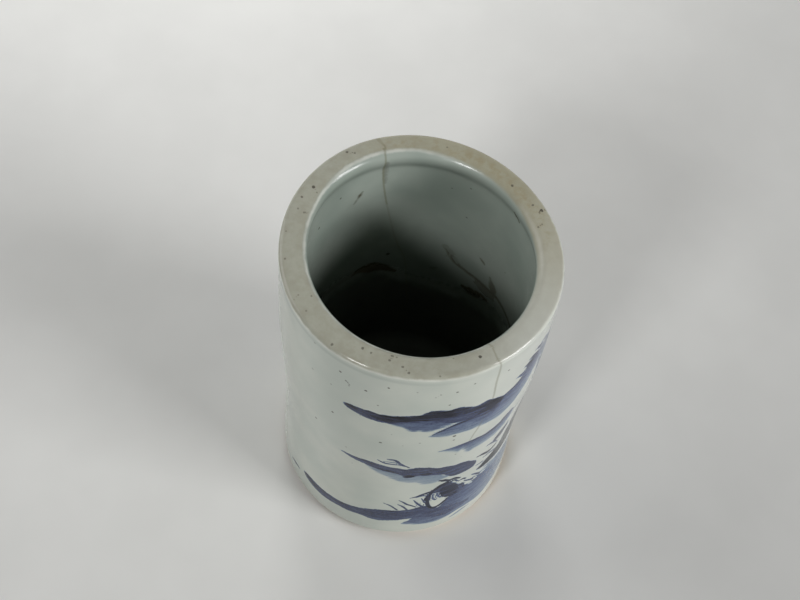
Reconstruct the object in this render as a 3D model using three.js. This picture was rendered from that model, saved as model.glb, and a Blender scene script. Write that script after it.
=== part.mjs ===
// A cylindrical porcelain brush pot: a thick wall thrown in one piece, with a flat rim, slightly
// waisted sides and a turned foot ring round a shallow recess. Glaze covers all but the foot.
// Units are millimetres, +Z is up, and the origin is the centre of the ring that it stands on.
import * as THREE from "three";

// Driving dimensions of the fired pot, measured over the glaze.
const height = 138;
const rimRadius = 45; // outside, at the top
const shoulderRadius = 45.5; // outside, where the upper wall swells most
const shoulderHeight = 104;
const waistRadius = 44.1; // outside, where the sides draw in most
const waistHeight = 47;
const footRadius = 45.2; // outside, just above the foot's bevel
const rimWall = 8.8; // width of the flat rim, roundings included
const lowerWall = 7.9; // wall thickness at the floor
const rimOuterRound = 1.6;
const rimInnerRound = 3.2;
const lipOverhang = 1; // the lip stands in this far over the wall of the well
const lipUndercut = 5; // height over which the lip draws back to that wall
const floorThickness = 11;
const floorCornerRound = 6;

// The foot, left bare of glaze.
const footBevelHeight = 2.2;
const footBevelWidth = 1.6;
const footRingWidth = 9;
const recessDepth = 2.6;
const recessWallRound = 1.2;

// Glaze coats.
const glazeThickness = 0.4;
const glazeLineHeight = 3.2; // the outer glaze stops here, just above the bevel
const footGlazeMargin = 0.8; // bare clay between the recess wall and the base glaze

// How finely the turned surfaces are cut.
const turnSteps = 64;
const wallSteps = 8;
const roundSteps = 4;

// Colours and finish, as fired.
const glazeLook = { roughness: 0.12, metalness: 0 };
const biscuit = new THREE.MeshStandardMaterial({ color: 0xd8b996, roughness: 0.8, metalness: 0 });
const outerCoat = new THREE.MeshStandardMaterial({ color: 0xcdd3cd, ...glazeLook });
const innerCoat = new THREE.MeshStandardMaterial({ color: 0xc3cfcc, ...glazeLook });
const baseCoat = new THREE.MeshStandardMaterial({ color: 0xd2d8d2, ...glazeLook });

const point = (radius, z) => new THREE.Vector2(radius, z);
const lipRadius = rimRadius - rimWall;

// Outside radius over the glaze: an easy swing from the foot in to the waist, out to the shoulder
// and in again to the rim.
function outsideRadius(z) {
  const stations = [
    point(footRadius, 0),
    point(waistRadius, waistHeight),
    point(shoulderRadius, shoulderHeight),
    point(rimRadius, height),
  ];
  let upper = 1;
  while (upper < stations.length - 1 && z > stations[upper].y) {
    upper++;
  }
  const from = stations[upper - 1];
  const to = stations[upper];
  const swing = (1 - Math.cos((Math.PI * (z - from.y)) / (to.y - from.y))) / 2;
  return from.x + (to.x - from.x) * swing;
}

// Inside radius over the glaze, tapering evenly from under the lip to the floor.
function insideRadius(z) {
  const top = lipRadius + lipOverhang;
  const bottom = footRadius - lowerWall;
  return bottom + ((top - bottom) * (z - floorThickness)) / (height - floorThickness);
}

// Points along a quarter round, from one angle to another, both ends included.
function quarterRound(centreRadius, centreZ, round, fromAngle, toAngle) {
  const points = [];
  for (let i = 0; i <= roundSteps; i++) {
    const angle = fromAngle + ((toAngle - fromAngle) * i) / roundSteps;
    points.push(point(centreRadius + round * Math.cos(angle), centreZ + round * Math.sin(angle)));
  }
  return points;
}

// Evenly spaced points up or down a wall whose radius follows a rule.
function wallPoints(radiusAt, inset, fromZ, toZ) {
  const points = [];
  for (let i = 0; i <= wallSteps; i++) {
    const z = fromZ + ((toZ - fromZ) * i) / wallSteps;
    points.push(point(radiusAt(z) + inset, z));
  }
  return points;
}

// The outside of the pot from the glaze line to the middle of the flat rim, drawn inset below the glaze.
const rimMiddle = (rimRadius + lipRadius) / 2;

function outerProfile(inset) {
  const roundZ = height - rimOuterRound;
  const roundRadius = outsideRadius(roundZ) - rimOuterRound;
  return [
    ...wallPoints(outsideRadius, -inset, glazeLineHeight, roundZ),
    ...quarterRound(roundRadius, roundZ, rimOuterRound - inset, 0, Math.PI / 2).slice(1),
    point(rimMiddle, height - inset),
  ];
}

// The inside of the pot from the middle of the flat rim to the centre of the floor.
function innerProfile(inset) {
  const roundZ = height - rimInnerRound;
  const cornerZ = floorThickness + floorCornerRound;
  const cornerRadius = insideRadius(cornerZ) - floorCornerRound;
  return [
    point(rimMiddle, height - inset),
    ...quarterRound(lipRadius + rimInnerRound, roundZ, rimInnerRound - inset, Math.PI / 2, Math.PI),
    ...wallPoints(insideRadius, inset, roundZ - lipUndercut, cornerZ),
    ...quarterRound(cornerRadius, cornerZ, floorCornerRound + inset, 0, -Math.PI / 2).slice(1),
    point(0, floorThickness - inset),
  ];
}

// The foot from the centre of the recess out to the glaze line.
const standingRadius = footRadius - footBevelWidth;
const recessRadius = standingRadius - footRingWidth;

function footProfile() {
  return [
    point(0, recessDepth),
    point(recessRadius - recessWallRound, recessDepth),
    point(recessRadius, recessDepth - recessWallRound),
    point(recessRadius, 0),
    point(standingRadius, 0),
    point(outsideRadius(footBevelHeight) - glazeThickness, footBevelHeight),
  ];
}

// A turned solid about +Z from a profile of points (radius, z) that ends on the axis or where it starts.
function turned(name, profile, material) {
  const geometry = new THREE.LatheGeometry(profile, turnSteps);
  geometry.rotateX(Math.PI / 2);
  const mesh = new THREE.Mesh(geometry, material);
  mesh.name = name;
  return mesh;
}

function porcelainBody() {
  const profile = [
    ...footProfile(),
    ...outerProfile(glazeThickness),
    ...innerProfile(glazeThickness).slice(1),
  ];
  return turned("porcelain_body", profile, biscuit);
}

function outerGlaze() {
  const skin = outerProfile(0);
  const bed = outerProfile(glazeThickness).reverse();
  return turned("outer_glaze", [...skin, ...bed, skin[0]], outerCoat);
}

function innerGlaze() {
  const skin = innerProfile(0);
  const bed = innerProfile(glazeThickness).reverse();
  return turned("inner_glaze", [...skin, ...bed, skin[0]], innerCoat);
}

function baseGlaze() {
  const edge = recessRadius - recessWallRound - footGlazeMargin;
  const profile = [
    point(0, recessDepth - glazeThickness),
    point(edge, recessDepth - glazeThickness),
    point(edge + glazeThickness, recessDepth),
    point(0, recessDepth),
  ];
  return turned("base_glaze", profile, baseCoat);
}

const brushPot = new THREE.Group();
brushPot.name = "brush_pot";
brushPot.add(porcelainBody(), outerGlaze(), innerGlaze(), baseGlaze());

export default brushPot;
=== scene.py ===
import math

import bpy
import numpy as np
from mathutils import Matrix, Vector


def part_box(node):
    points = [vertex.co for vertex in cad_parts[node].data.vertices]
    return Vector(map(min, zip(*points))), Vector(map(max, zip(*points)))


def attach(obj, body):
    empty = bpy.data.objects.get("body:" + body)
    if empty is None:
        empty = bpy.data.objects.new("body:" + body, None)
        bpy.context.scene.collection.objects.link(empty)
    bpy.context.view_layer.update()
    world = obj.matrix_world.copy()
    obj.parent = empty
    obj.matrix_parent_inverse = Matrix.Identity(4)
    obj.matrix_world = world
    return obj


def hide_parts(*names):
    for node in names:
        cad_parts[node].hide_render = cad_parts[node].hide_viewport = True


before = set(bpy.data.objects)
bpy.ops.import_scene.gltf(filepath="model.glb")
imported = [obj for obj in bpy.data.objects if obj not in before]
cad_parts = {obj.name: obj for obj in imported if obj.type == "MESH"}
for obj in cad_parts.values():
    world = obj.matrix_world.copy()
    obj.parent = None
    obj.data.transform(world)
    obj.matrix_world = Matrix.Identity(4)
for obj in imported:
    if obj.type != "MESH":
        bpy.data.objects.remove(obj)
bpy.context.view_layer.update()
print("frame loaded")

mm = 0.001

# The camera that took the photograph, in the pot's frame
cameraView = {
    "lens": 54.0,  # mm on a 36 mm wide sensor
    "place": (-0.0047, -0.2006, 0.4545),
    "pitch": 60.1,  # degrees below the horizon
    "roll": 7.07,
}


def addCamera(view):
    data = bpy.data.cameras.new("photoCamera")
    data.sensor_width = 36.0
    data.lens = view["lens"]
    camera = bpy.data.objects.new("photoCamera", data)
    bpy.context.scene.collection.objects.link(camera)
    tilt = Matrix.Rotation(math.radians(90 - view["pitch"]), 4, "X")
    roll = Matrix.Rotation(math.radians(view["roll"]), 4, "Z")
    camera.location = view["place"]
    camera.rotation_euler = (tilt @ roll).to_euler("XYZ")
    bpy.context.scene.camera = camera


addCamera(cameraView)
print("camera placed")


# Node helpers, for the shaders and for the turning tree

def addNode(tree, kind, inputs=None, **settings):
    node = tree.nodes.new(kind)
    for key, value in settings.items():
        setattr(node, key, value)
    for key, value in (inputs or {}).items():
        feed(tree, node.inputs[key], value)
    return node


def feed(tree, socket, value):
    if isinstance(value, bpy.types.NodeSocket):
        tree.links.new(value, socket)
    else:
        socket.default_value = value


def calc(tree, operation, *values, kind="ShaderNodeMath"):
    node = addNode(tree, kind, operation=operation)
    for socket, value in zip(node.inputs, values):
        feed(tree, socket, value)
    return node.outputs[0]


def times(tree, first, *others):
    for other in others:
        first = calc(tree, "MULTIPLY", first, other)
    return first


def lengthOf(tree, vector):
    node = addNode(tree, "ShaderNodeVectorMath", {0: vector}, operation="LENGTH")
    return node.outputs["Value"]


def joined(tree, x, y, z):
    return addNode(tree, "ShaderNodeCombineXYZ", {"X": x, "Y": y, "Z": z}).outputs[0]


# Colours are written as the eye sees them, 0 to 255

def linear(color):
    parts = [c / 255 for c in color]
    return [p / 12.92 if p <= 0.04045 else ((p + 0.055) / 1.055) ** 2.4 for p in parts]


def remap(tree, value, low, high, toLow=0.0, toHigh=1.0, smooth=True):
    kind = "SMOOTHSTEP" if smooth else "LINEAR"
    sockets = {
        "Value": value,
        "From Min": low,
        "From Max": high,
        "To Min": toLow,
        "To Max": toHigh,
    }
    return addNode(tree, "ShaderNodeMapRange", sockets, interpolation_type=kind).outputs[0]


def mixColor(tree, share, first, second, blend="MIX"):
    node = addNode(tree, "ShaderNodeMix", data_type="RGBA", blend_type=blend)
    feed(tree, node.inputs[0], share)
    for socket, value in ((node.inputs[6], first), (node.inputs[7], second)):
        feed(tree, socket, value if isinstance(value, bpy.types.NodeSocket) else [*linear(value), 1])
    return node.outputs[2]


def shrunk(tree, place, size, shift, stretch=(1, 1, 1)):
    # The place counted in steps of size mm, from a starting point that differs for each texture
    scale = [s / (size * mm) for s in stretch]
    sockets = {"Vector": place, "Scale": scale, "Location": [shift] * 3}
    return addNode(tree, "ShaderNodeMapping", sockets).outputs[0]


def grain(tree, place, size, detail=3.0, stretch=(1, 1, 1), shift=0.0):
    # Noise whose features are about size mm, from 0 to 1
    spot = shrunk(tree, place, size, shift, stretch)
    sockets = {"Vector": spot, "Scale": 1.0, "Detail": detail, "Roughness": 0.55}
    return addNode(tree, "ShaderNodeTexNoise", sockets).outputs[0]


def dots(tree, place, spacing, radius, share, shift=0.0):
    # Small round marks, one in some of the cells of a loose grid, both in mm
    spot = shrunk(tree, place, spacing, shift)
    cells = addNode(tree, "ShaderNodeTexVoronoi", {"Vector": spot, "Scale": 1.0})
    pick = addNode(tree, "ShaderNodeSeparateColor", {"Color": cells.outputs["Color"]})
    chosen = calc(tree, "LESS_THAN", pick.outputs[0], share)
    reach = remap(tree, pick.outputs[1], 0, 1, 0.45 * radius / spacing, radius / spacing, smooth=False)
    edge = calc(tree, "SUBTRACT", reach, cells.outputs["Distance"])
    return times(tree, remap(tree, edge, 0, 0.35 * radius / spacing), chosen)


def drawn(tree, name, output="Fac"):
    return addNode(tree, "ShaderNodeAttribute", attribute_name=name).outputs[output]


def roughened(tree, value, ragged, rough):
    # The value moved up and down by noise
    return calc(tree, "MULTIPLY_ADD", calc(tree, "SUBTRACT", ragged, 0.5), rough, value)


def newFinish(name):
    material = bpy.data.materials.new(name)
    material.use_nodes = True
    tree = material.node_tree
    place = addNode(tree, "ShaderNodeTexCoord").outputs["Object"]
    return material, tree, tree.nodes["Principled BSDF"], place


def addBumps(tree, shader, layers):
    # Each layer is (height, distance in mm, strength)
    normal = None
    for height, distance, strength in layers:
        sockets = {"Height": height, "Distance": distance * mm, "Strength": strength}
        if normal is not None:
            sockets["Normal"] = normal
        normal = addNode(tree, "ShaderNodeBump", sockets).outputs[0]
    tree.links.new(normal, shader.inputs["Normal"])


# The form that every piece is turned to, in mm
coatLow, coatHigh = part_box("outer_glaze")
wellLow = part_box("inner_glaze")[0]
potForm = {
    "height": coatHigh.z / mm,
    "glazeLine": coatLow.z / mm,  # the outer coat stops here, above the bare foot
    "rim": 45.0,  # outside radii at four heights
    "shoulder": 45.5,
    "shoulderHeight": 104.0,
    "waist": 44.1,
    "waistHeight": 47.0,
    "foot": 45.2,
    "lip": 36.2,  # inside radius at the mouth
    "lipOverhang": 1.0,
    "lipUndercut": 5.0,
    "wellFoot": 37.3,  # inside radius at the floor
    "outerRound": 1.6,
    "innerRound": 3.2,
    "coat": 0.4,
    "floorCorner": 6.0,
    "footBevelHeight": 2.2,
    "footBevelWidth": 1.6,
    "footRing": 9.0,
    "footEdge": 0.5,  # how softly the ring's edges are rounded
    "recess": 2.6,
    "recessRound": 1.2,
}
potForm["floor"] = wellLow.z / mm + potForm["coat"]
potForm["rimMiddle"] = (potForm["rim"] + potForm["lip"]) / 2

# How the pot warped as it dried and was fired. A lobe is (count, mm at the top, turned by degrees).
warping = {
    "rim": [(1, 0.3, -90.0), (2, 0.61, 0.0), (3, 0.41, 207.0)],
    "lip": [(1, 0.31, -8.0), (2, 0.27, -6.0), (3, 0.24, 57.0)],
    "wobble": 0.12,  # mm
    "wobbleSize": 24.0,
    "wobbleRise": (3.0, 15.0),  # heights between which the wobble sets in
    "seed": 3.7,
    "stillRadius": 30.0,  # the warp fades out from here to the axis
}


def swing(start, end, share):
    return start + (end - start) * (1 - math.cos(math.pi * share)) / 2


def outsideRadius(z):
    form = potForm
    if z < form["waistHeight"]:
        return swing(form["foot"], form["waist"], z / form["waistHeight"])
    if z < form["shoulderHeight"]:
        share = (z - form["waistHeight"]) / (form["shoulderHeight"] - form["waistHeight"])
        return swing(form["waist"], form["shoulder"], share)
    share = (z - form["shoulderHeight"]) / (form["height"] - form["shoulderHeight"])
    return swing(form["shoulder"], form["rim"], share)


def insideRadius(z):
    top = potForm["lip"] + potForm["lipOverhang"]
    share = (z - potForm["floor"]) / (potForm["height"] - potForm["floor"])
    return potForm["wellFoot"] + (top - potForm["wellFoot"]) * share


def wallRadius(z):
    # The outside with the rounding of its top edge
    form = potForm
    over = z - (form["height"] - form["outerRound"])
    if over <= 0:
        return outsideRadius(z)
    centre = outsideRadius(z - over) - form["outerRound"]
    return centre + math.sqrt(max(form["outerRound"]**2 - over**2, 0))


def wellRadius(z):
    # The inside with the rounding of the lip and its undercut
    form = potForm
    over = z - (form["height"] - form["innerRound"])
    if over > 0:
        return form["lip"] + form["innerRound"] - math.sqrt(max(form["innerRound"]**2 - over**2, 0))
    under = min(-over / form["lipUndercut"], 1)
    return swing(form["lip"], insideRadius(z), under)


def arc(radius, z, turn, fromDegrees, toDegrees, count):
    turns = np.radians(np.linspace(fromDegrees, toDegrees, count))
    return [(radius + turn * math.cos(t), z + turn * math.sin(t)) for t in turns]


def wallRows(radiusAt, inset, fromZ, toZ, count):
    return [(radiusAt(z) + inset, z) for z in np.linspace(fromZ, toZ, count)]


def outerRows(inset, wallCount, roundCount, flatCount):
    form = potForm
    roundZ = form["height"] - form["outerRound"]
    centre = outsideRadius(roundZ) - form["outerRound"]
    flat = [(r, form["height"] - inset) for r in np.linspace(centre, form["rimMiddle"], flatCount)]
    return [
        *wallRows(outsideRadius, -inset, form["glazeLine"], roundZ, wallCount),
        *arc(centre, roundZ, form["outerRound"] - inset, 0, 90, roundCount)[1:],
        *flat[1:],
    ]


def innerRows(inset, flatCount, roundCount, wallCount, cornerCount, floorCount):
    form = potForm
    roundZ = form["height"] - form["innerRound"]
    centre = form["lip"] + form["innerRound"]
    cornerZ = form["floor"] + form["floorCorner"]
    corner = insideRadius(cornerZ) - form["floorCorner"]
    undercut = roundZ - form["lipUndercut"]
    return [
        *[(r, form["height"] - inset) for r in np.linspace(form["rimMiddle"], centre, flatCount)],
        *arc(centre, roundZ, form["innerRound"] - inset, 90, 180, roundCount)[1:],
        *[
            (swing(form["lip"], insideRadius(undercut), s) + inset, roundZ - form["lipUndercut"] * s)
            for s in np.linspace(0, 1, 9)[1:-1]
        ],
        *wallRows(insideRadius, inset, undercut, cornerZ, wallCount),
        *arc(corner, cornerZ, form["floorCorner"] + inset, 0, -90, cornerCount)[1:],
        *[(r, form["floor"] - inset) for r in np.linspace(corner, 0, floorCount)[1:]],
    ]


def wayFromRim(rows):
    # The length along a profile to the middle of the rim, in mm
    points = np.array(rows)
    steps = np.linalg.norm(np.diff(points, axis=0), axis=1)
    way = np.concatenate([[0], np.cumsum(steps)])
    middle = np.argmin(np.linalg.norm(points - (potForm["rimMiddle"], potForm["height"]), axis=1))
    way = np.abs(way - way[middle])
    way[-1] = way[0] if np.allclose(points[-1], points[0]) else way[-1]
    return way


sharpBend = 50  # degrees. Edges that turn more are drawn crisp.


# One tree turns any profile: a grid of rows and steps, laid round the axis and warped
def turningTree():
    tree = bpy.data.node_groups.new("turning", "GeometryNodeTree")
    wanted = [
        ("Profile", "NodeSocketGeometry"),
        ("Rows", "NodeSocketInt"),
        ("Steps Round", "NodeSocketInt"),
        ("Height", "NodeSocketFloat"),
        ("Rim Radius", "NodeSocketFloat"),
        ("Rim Middle", "NodeSocketFloat"),
        ("Lip Radius", "NodeSocketFloat"),
        *[(f"{part} Lobe {n}", "NodeSocketFloat") for part in ("Rim", "Lip") for n in (1, 2, 3)],
        ("Wobble", "NodeSocketFloat"),
        ("Wobble Size", "NodeSocketFloat"),
        ("Seed", "NodeSocketFloat"),
        ("Finish", "NodeSocketMaterial"),
    ]
    for name, kind in wanted:
        tree.interface.new_socket(name=name, in_out="INPUT", socket_type=kind)
    tree.interface.new_socket(name="Turned", in_out="OUTPUT", socket_type="NodeSocketGeometry")
    given = tree.nodes.new("NodeGroupInput").outputs
    count = calc(tree, "ADD", given["Steps Round"], 1)
    index = addNode(tree, "GeometryNodeInputIndex").outputs[0]
    row = calc(tree, "FLOOR", calc(tree, "DIVIDE", calc(tree, "ADD", index, 0.5), count))
    step = calc(tree, "SUBTRACT", index, times(tree, row, count))
    sockets = {"Size X": 1.0, "Size Y": 1.0, "Vertices X": given["Rows"], "Vertices Y": count}
    grid = addNode(tree, "GeometryNodeMeshGrid", sockets)

    here = addNode(tree, "GeometryNodeInputPosition").outputs[0]

    def fromProfile(value, kind):
        sockets = {"Geometry": given["Profile"], "Value": value, "Index": row}
        return addNode(tree, "GeometryNodeSampleIndex", sockets, data_type=kind).outputs[0]

    parts = addNode(tree, "ShaderNodeSeparateXYZ", {"Vector": fromProfile(here, "FLOAT_VECTOR")}).outputs
    radius, z = parts["X"], parts["Z"]
    way = addNode(tree, "GeometryNodeInputNamedAttribute", {"Name": "fromRim"}, data_type="FLOAT")
    fromRim = fromProfile(way.outputs[0], "FLOAT")
    turn = times(tree, calc(tree, "DIVIDE", step, given["Steps Round"]), -2 * math.pi)
    sine, cosine = calc(tree, "SINE", turn), calc(tree, "COSINE", turn)

    def around(radius):
        y = times(tree, radius, times(tree, cosine, -1))
        return joined(tree, times(tree, radius, sine), y, z)

    def lobes(part):
        lean = 0.0
        for count, _, phase in warping[part.lower()]:
            wave = calc(tree, "SINE", calc(tree, "MULTIPLY_ADD", turn, count, math.radians(phase)))
            lean = calc(tree, "MULTIPLY_ADD", wave, given[f"{part} Lobe {count}"], lean)
        return lean

    risen = calc(tree, "DIVIDE", z, given["Height"])
    rimLean = times(tree, lobes("Rim"), calc(tree, "DIVIDE", radius, given["Rim Radius"]))
    inward = remap(tree, radius, given["Lip Radius"], given["Rim Middle"], 1, 0)
    inward = times(tree, inward, remap(tree, radius, 0, warping["stillRadius"] * mm))
    lean = calc(tree, "MULTIPLY_ADD", lobes("Lip"), inward, rimLean)
    sizes = joined(tree, *[given["Wobble Size"]] * 3)
    spot = calc(tree, "DIVIDE", around(radius), sizes, kind="ShaderNodeVectorMath")
    seeds = joined(tree, *[given["Seed"]] * 3)
    spot = calc(tree, "ADD", spot, seeds, kind="ShaderNodeVectorMath")
    noise = addNode(tree, "ShaderNodeTexNoise", {"Vector": spot, "Scale": 1.0, "Detail": 1.0})
    rise = [height * mm for height in warping["wobbleRise"]]
    fade = times(tree, remap(tree, z, *rise), remap(tree, radius, 0, warping["stillRadius"] * mm))
    wobble = times(tree, calc(tree, "MULTIPLY_ADD", noise.outputs[0], 2, -1), fade)
    grown = calc(tree, "MULTIPLY_ADD", risen, lean, radius)
    grown = calc(tree, "MULTIPLY_ADD", wobble, given["Wobble"], grown)
    bend = addNode(tree, "GeometryNodeInputMeshEdgeAngle").outputs[0]
    sharp = calc(tree, "GREATER_THAN", bend, math.radians(sharpBend))

    unwrap = {"Name": "OFBake", "Value": grid.outputs["UV Map"]}
    solid = grid.outputs["Mesh"]
    for kind, inputs, settings in (
        ("StoreNamedAttribute", unwrap, {"data_type": "FLOAT2", "domain": "CORNER"}),
        ("StoreNamedAttribute", {"Name": "fromRim", "Value": fromRim}, {"data_type": "FLOAT"}),
        ("SetPosition", {"Position": around(grown)}, {}),
        ("MergeByDistance", {"Distance": 0.001 * mm}, {}),
        ("SetShadeSmooth", {}, {"domain": "FACE"}),
        ("SetShadeSmooth", {"Selection": sharp, "Shade Smooth": False}, {"domain": "EDGE"}),
        ("RealizeInstances", {}, {}),
        ("SetMaterial", {"Material": given["Finish"]}, {}),
    ):
        solid = addNode(tree, "GeometryNode" + kind, {"Geometry": solid, **inputs}, **settings).outputs[0]
    ends = tree.nodes.new("NodeGroupOutput")
    tree.links.new(solid, ends.inputs["Turned"])
    return tree


turning = turningTree()


def turnPiece(name, rows, stepsRound, finish):
    mesh = bpy.data.meshes.new(name + "Profile")
    places = [(radius * mm, 0, z * mm) for radius, z in rows]
    mesh.from_pydata(places, [(i, i + 1) for i in range(len(rows) - 1)], [])
    mesh.attributes.new("fromRim", "FLOAT", "POINT").data.foreach_set("value", wayFromRim(rows))
    wheel = bpy.data.objects.new(name + "Wheel", mesh)
    bpy.context.scene.collection.objects.link(wheel)
    modifier = wheel.modifiers.new("turning", "NODES")
    modifier.node_group = turning
    items = turning.interface.items_tree
    sockets = {item.name: item.identifier for item in items if item.in_out == "INPUT"}
    given = {
        "Rows": len(rows),
        "Steps Round": stepsRound,
        "Height": potForm["height"] * mm,
        "Rim Radius": potForm["rim"] * mm,
        "Rim Middle": potForm["rimMiddle"] * mm,
        "Lip Radius": potForm["lip"] * mm,
        **{
            f"{part} Lobe {count}": depth * mm
            for part in ("Rim", "Lip") for count, depth, _ in warping[part.lower()]
        },
        "Wobble": warping["wobble"] * mm,
        "Wobble Size": warping["wobbleSize"] * mm,
        "Seed": warping["seed"],
        "Finish": finish,
    }
    for key, value in given.items():
        modifier[sockets[key]] = value
    bpy.context.view_layer.update()
    depsgraph = bpy.context.evaluated_depsgraph_get()
    solid = bpy.data.meshes.new_from_object(wheel.evaluated_get(depsgraph))
    piece = bpy.data.objects.new(name, solid)
    bpy.context.scene.collection.objects.link(piece)
    wheel.modifiers.remove(modifier)
    bpy.data.objects.remove(wheel)
    print(name, "turned,", len(solid.polygons), "faces")
    return piece


# Marks drawn on a surface. A place is (degrees round from the front, height), or on the rim
# (degrees, radius).

def easeShare(value, low, high):
    share = min(max((value - low) / (high - low), 0), 1)
    return share * share * (3 - 2 * share)


def warped(degrees, radius, z):
    def lean(lobes):
        return sum(depth * math.sin(math.radians(count * degrees + phase)) for count, depth, phase in lobes)

    rimLean, lipLean = lean(warping["rim"]), lean(warping["lip"])
    inward = 1 - easeShare(radius, potForm["lip"], potForm["rimMiddle"])
    inward *= easeShare(radius, 0, warping["stillRadius"])
    return radius + z / potForm["height"] * (radius / potForm["rim"] * rimLean + inward * lipLean)


def surfacePlace(surface, degrees, value):
    if surface == "rim":
        radius, z = value, potForm["height"]
    else:
        radius, z = (wallRadius if surface == "wall" else wellRadius)(value), value
    radius = warped(degrees, radius, z)
    angle = math.radians(degrees)
    return radius * math.sin(angle), -radius * math.cos(angle), z


def facing(surface, degrees):
    angle = math.radians(degrees)
    out = (math.sin(angle), -math.cos(angle), 0)
    return {"wall": out, "well": (-out[0], -out[1], 0), "rim": (0, 0, 1)}[surface]


def curved(rows, counts):
    # A smooth curve through rows of numbers, with a count of samples from each row to the next
    ends = np.vstack([2 * rows[0] - rows[1], rows, 2 * rows[-1] - rows[-2]])
    samples = []
    for a, b, c, d, count in zip(ends[:-3], ends[1:-2], ends[2:-1], ends[3:], counts):
        square, cube = 2 * a - 5 * b + 4 * c - d, 3 * b - a - 3 * c + d
        for t in np.linspace(0, 1, count, endpoint=False):
            samples.append(0.5 * (2 * b + (c - a) * t + square * t**2 + cube * t**3))
    return np.array([*samples, rows[-1]])


def smoothLine(points, spacing=0.35):
    # A curve through the points (degrees, height or radius, half width), sampled about every 0.35 mm
    points = np.array(points, float)
    gaps = np.hypot(np.radians(np.diff(points[:, 0])) * potForm["rim"], np.diff(points[:, 1]))
    line = curved(points, [max(2, round(gap / spacing)) for gap in gaps])
    line[:, 2] = np.maximum(line[:, 2], 0.02)
    return line


def traced(surface, points):
    # Places, half widths and the direction across the line, which points up or outwards
    line = smoothLine(points)
    places = np.array([surfacePlace(surface, a, v) for a, v, _ in line])
    normals = np.array([facing(surface, a) for a, _, _ in line])
    across = np.cross(normals, np.gradient(places, axis=0))
    across /= np.maximum(np.linalg.norm(across, axis=1), 1e-9)[:, None]
    up = np.array((0, 0, 1)) if surface != "rim" else places[0] * (1, 1, 0)
    if (across @ up).sum() < 0:
        across = -across
    return places, line[:, 2], across


class Sheet:
    # The points of a piece and the fields drawn on them
    def __init__(self, piece):
        self.mesh = piece.data
        flat = np.zeros(len(self.mesh.vertices) * 3, np.float32)
        self.mesh.vertices.foreach_get("co", flat)
        self.places = flat.reshape(-1, 3) / mm
        self.degrees = np.degrees(np.arctan2(self.places[:, 0], -self.places[:, 1]))

    def near(self, places, reach):
        low, high = places.min(0) - reach, places.max(0) + reach
        return np.where(((self.places > low) & (self.places < high)).all(1))[0]

    def measure(self, places, reach, block=2_000_000):
        # The points near a line, a block at a time, with their offsets and distances from its places
        near = self.near(places, reach)
        for part in np.array_split(near, max(1, len(near) * len(places) // block)):
            if len(part):
                away = self.places[part][:, None] - places[None]
                yield part, away, np.linalg.norm(away, axis=2)

    def keep(self, name, values):
        kind, field = ("FLOAT", "value") if values.ndim == 1 else ("FLOAT_VECTOR", "vector")
        attribute = self.mesh.attributes.new(name, kind, "POINT")
        attribute.data.foreach_set(field, values.astype(np.float32).ravel())


def bandField(sheet, rows, feather, samples=12):
    # How far, in mm, each point lies inside a band of rows (degrees, low edge, high edge, strength), how
    # far up the band it is, and the strength there. A feather above 1 softens the low edge.
    curve = curved(np.array([[*row, 1.0][:4] for row in rows], float), [samples] * (len(rows) - 1))
    curve[:, 0] = np.maximum.accumulate(curve[:, 0])
    middle = (curve[0, 0] + curve[-1, 0]) / 2
    degrees = (sheet.degrees - middle + 180) % 360 - 180 + middle
    low, high, strength = [np.interp(degrees, curve[:, 0], curve[:, i]) for i in (1, 2, 3)]
    run = np.radians(curve[:, 0]) * potForm["rim"] + np.arange(len(curve)) * 1e-6
    slopes = [np.gradient(curve[:, i], run) for i in (1, 2)]
    level = [np.interp(degrees, curve[:, 0], 1 / np.hypot(1, slope)) for slope in slopes]
    z = sheet.places[:, 2]
    ends = np.radians(np.minimum(degrees - curve[0, 0], curve[-1, 0] - degrees)) * potForm["rim"]
    inside = np.minimum(np.minimum((z - low) * level[0] / feather, (high - z) * level[1]), ends)
    return inside, np.clip((z - low) / np.maximum(high - low, 0.1), 0, 1), strength


def strokeField(sheet, points, reach):
    # The same for a brush stroke of points (degrees, height, half width)
    places, half, across = traced("wall", points)
    inside, up = np.full(len(sheet.places), -reach), np.zeros(len(sheet.places))
    for part, away, gaps in sheet.measure(places, reach + half.max()):
        depth = half[None] - gaps
        best, rows = depth.argmax(1), np.arange(len(part))
        side = np.einsum("ij,ij->i", away[rows, best], across[best])
        inside[part] = depth[rows, best]
        up[part] = (np.clip(side / np.maximum(half[best], 0.3), -1, 1) + 1) / 2
    return inside, up


# How softly the low edge of each kind of shape runs out
feathers = {"band": 1.0, "fade": 2.6}


def fillShapes(sheet, name, shapes, reach=3.0):
    # The distance inside the nearest shape, and its ink, which runs from its top to its bottom
    edge, ink = np.full(len(sheet.places), -reach), np.zeros(len(sheet.places))
    for kind, top, bottom, points in shapes:
        strength = np.ones(len(sheet.places))
        if kind == "brush":
            inside, up = strokeField(sheet, points, reach)
        else:
            inside, up, strength = bandField(sheet, points, feathers[kind])
        better = inside > edge
        edge[better] = inside[better]
        ink[better] = ((bottom + (top - bottom) * up) * strength)[better]
    sheet.keep(name + "Edge", edge)
    sheet.keep(name + "Ink", ink)


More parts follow.
